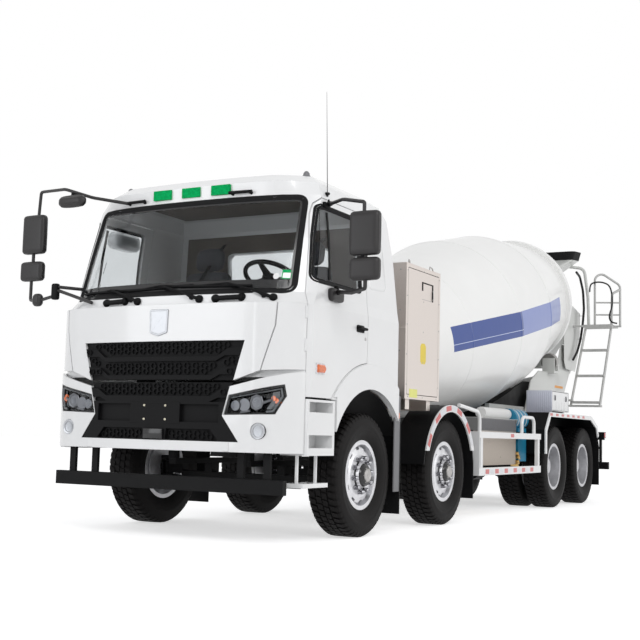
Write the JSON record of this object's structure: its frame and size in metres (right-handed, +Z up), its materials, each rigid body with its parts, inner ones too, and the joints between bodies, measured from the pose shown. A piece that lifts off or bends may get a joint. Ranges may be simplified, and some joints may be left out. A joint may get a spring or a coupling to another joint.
{
  "type": "concrete mixer truck",
  "caption": "Rigid truck with a tilted rotating concrete drum, charging hopper and folding discharge chute, with steered front axles and driven twin-wheel rear axles.",
  "frame": {"origin": "on the ground below the middle of the truck", "axes": "+X to the truck's left, +Y to its rear, +Z up"},
  "size_m": [3.61, 10.242, 3.8718],
  "materials": {
    "white_paint": "gloss",
    "drum_paint": "gloss, with a blue stripe",
    "chassis_black": "satin",
    "cast": "painted",
    "glass": "tinted",
    "lamp_glass": "clear",
    "marker_green": "translucent",
    "interior": "grained",
    "black_plastic": "grained",
    "rubber": "matt",
    "tyre": "matt",
    "steel": "brushed",
    "wheel_alloy": "satin"
  },
  "bodies": {
    "root": {"chassis_frame": "chassis_black", "engine": "cast", "front_axles": "chassis_black", "rear_axles": "chassis_black", "cab_shell": "white_paint", "cab_glass": "glass", "cab_interior": "interior", "cab_steps": "white_paint", "front_bumper": "white_paint", "headlamps": "lamp_glass", "bumper_grille": "black_plastic", "roof_lamps": "marker_green", "fenders": "black_plastic", "fender_edges": "white_paint", "side_guards": "white_paint", "chassis_tanks": "steel", "steel_cabinet": "steel", "tool_box": "white_paint", "front_pedestal": "white_paint", "rear_pedestal": "white_paint", "hopper": "white_paint", "hopper_skirt": "rubber", "collector": "white_paint", "ladder": "steel", "wash_hose": "rubber", "mirrors_right": "black_plastic"},
    "service_flap": {"service_flap": "white_paint", "flap_grille": "black_plastic"},
    "cabinet_door": {"cabinet_door": "steel"},
    "tool_box_door": {"tool_box_door": "white_paint"},
    "drum": {"drum": "drum_paint"},
    "roller_left": {"roller_left": "cast"},
    "roller_right": {"roller_right": "cast"},
    "chute_swivel": {"chute_swivel": "white_paint"},
    "chute": {"chute": "white_paint"},
    "door_left": {"door_left": "white_paint", "door_glass_left": "glass", "mirrors_left": "black_plastic"},
    "knuckle_1_left": {"knuckle_1_left": "chassis_black"},
    "knuckle_2_left": {"knuckle_2_left": "chassis_black"},
    "wheel_1_left": {"tyre_1_left": "tyre", "rim_1_left": "wheel_alloy"},
    "wheel_2_left": {"tyre_2_left": "tyre", "rim_2_left": "wheel_alloy"},
    "wheel_3_left": {"tyre_3_left": "tyre", "rim_3_left": "wheel_alloy"},
    "wheel_4_left": {"tyre_4_left": "tyre", "rim_4_left": "wheel_alloy"},
    "door_right": {"door_right": "white_paint", "door_glass_right": "glass"},
    "knuckle_1_right": {"knuckle_1_right": "chassis_black"},
    "knuckle_2_right": {"knuckle_2_right": "chassis_black"},
    "wheel_1_right": {"tyre_1_right": "tyre", "rim_1_right": "wheel_alloy"},
    "wheel_2_right": {"tyre_2_right": "tyre", "rim_2_right": "wheel_alloy"},
    "wheel_3_right": {"tyre_3_right": "tyre", "rim_3_right": "wheel_alloy"},
    "wheel_4_right": {"tyre_4_right": "tyre", "rim_4_right": "wheel_alloy"}
  },
  "joints": [
    {"name": "door_left_hinge", "type": "hinge", "parent": "root", "child": "door_left", "pos_m": [1.213, -4.808, 1.6], "axis": [0, 0, -1], "range_deg": [0, 65]},
    {"name": "steer_1_left", "type": "hinge", "parent": "root", "child": "knuckle_1_left", "pos_m": [0.86, -3.7, 0.53], "axis": [0, 0, 1], "range_deg": [-35, 35]},
    {"name": "steer_2_left", "type": "hinge", "parent": "root", "child": "knuckle_2_left", "pos_m": [0.86, -1.85, 0.53], "axis": [0, 0, 1], "range_deg": [-26, 26]},
    {"name": "roll_1_left", "type": "hinge", "parent": "knuckle_1_left", "child": "wheel_1_left", "pos_m": [1.045, -3.7, 0.53], "axis": [1, 0, 0], "continuous": true},
    {"name": "roll_2_left", "type": "hinge", "parent": "knuckle_2_left", "child": "wheel_2_left", "pos_m": [1.045, -1.85, 0.53], "axis": [1, 0, 0], "continuous": true},
    {"name": "roll_3_left", "type": "hinge", "parent": "root", "child": "wheel_3_left", "pos_m": [1.045, 1.975, 0.53], "axis": [1, 0, 0], "continuous": true},
    {"name": "roll_4_left", "type": "hinge", "parent": "root", "child": "wheel_4_left", "pos_m": [1.045, 3.325, 0.53], "axis": [1, 0, 0], "continuous": true},
    {"name": "roller_left_spin", "type": "hinge", "parent": "root", "child": "roller_left", "pos_m": [0.5571, 3.6575, 2.02391], "axis": [0, 0.9736, 0.2284], "continuous": true},
    {"name": "door_right_hinge", "type": "hinge", "parent": "root", "child": "door_right", "pos_m": [-1.213, -4.808, 1.6], "axis": [0, 0, 1], "range_deg": [0, 65]},
    {"name": "steer_1_right", "type": "hinge", "parent": "root", "child": "knuckle_1_right", "pos_m": [-0.86, -3.7, 0.53], "axis": [0, 0, 1], "range_deg": [-35, 35]},
    {"name": "steer_2_right", "type": "hinge", "parent": "root", "child": "knuckle_2_right", "pos_m": [-0.86, -1.85, 0.53], "axis": [0, 0, 1], "range_deg": [-26, 26]},
    {"name": "roll_1_right", "type": "hinge", "parent": "knuckle_1_right", "child": "wheel_1_right", "pos_m": [-1.045, -3.7, 0.53], "axis": [1, 0, 0], "continuous": true},
    {"name": "roll_2_right", "type": "hinge", "parent": "knuckle_2_right", "child": "wheel_2_right", "pos_m": [-1.045, -1.85, 0.53], "axis": [1, 0, 0], "continuous": true},
    {"name": "roll_3_right", "type": "hinge", "parent": "root", "child": "wheel_3_right", "pos_m": [-1.045, 1.975, 0.53], "axis": [1, 0, 0], "continuous": true},
    {"name": "roll_4_right", "type": "hinge", "parent": "root", "child": "wheel_4_right", "pos_m": [-1.045, 3.325, 0.53], "axis": [1, 0, 0], "continuous": true},
    {"name": "roller_right_spin", "type": "hinge", "parent": "root", "child": "roller_right", "pos_m": [-0.5571, 3.6575, 2.02391], "axis": [0, 0.9736, 0.2284], "continuous": true},
    {"name": "drum_spin", "type": "hinge", "parent": "root", "child": "drum", "pos_m": [0, -2.003, 1.612], "axis": [0, 0.9736, 0.2284], "continuous": true},
    {"name": "service_flap_hinge", "type": "hinge", "parent": "root", "child": "service_flap", "pos_m": [0, -5.03, 1.883], "axis": [-1, 0, 0], "range_deg": [0, 60]},
    {"name": "cabinet_door_hinge", "type": "hinge", "parent": "root", "child": "cabinet_door", "pos_m": [1.199, -2.873, 1.86], "axis": [0, 0, -1], "range_deg": [0, 110]},
    {"name": "tool_box_door_hinge", "type": "hinge", "parent": "root", "child": "tool_box_door", "pos_m": [1.145, 2.225, 1.503], "axis": [0, -1, 0], "range_deg": [0, 90]},
    {"name": "chute_swing", "type": "hinge", "parent": "root", "child": "chute_swivel", "pos_m": [0, 4.62, 1.31], "axis": [0, 0, -1], "range_deg": [0, 115]},
    {"name": "chute_lift", "type": "hinge", "parent": "chute_swivel", "child": "chute", "pos_m": [0, 4.62, 1.56], "axis": [0, 1, 0], "range_deg": [-10, 20]}
  ],
  "couplings": [
    {"joint": "steer_1_right", "follows": "steer_1_left", "ratio": 1},
    {"joint": "steer_2_left", "follows": "steer_1_left", "ratio": 0.74},
    {"joint": "steer_2_right", "follows": "steer_1_left", "ratio": 0.74}
  ]
}
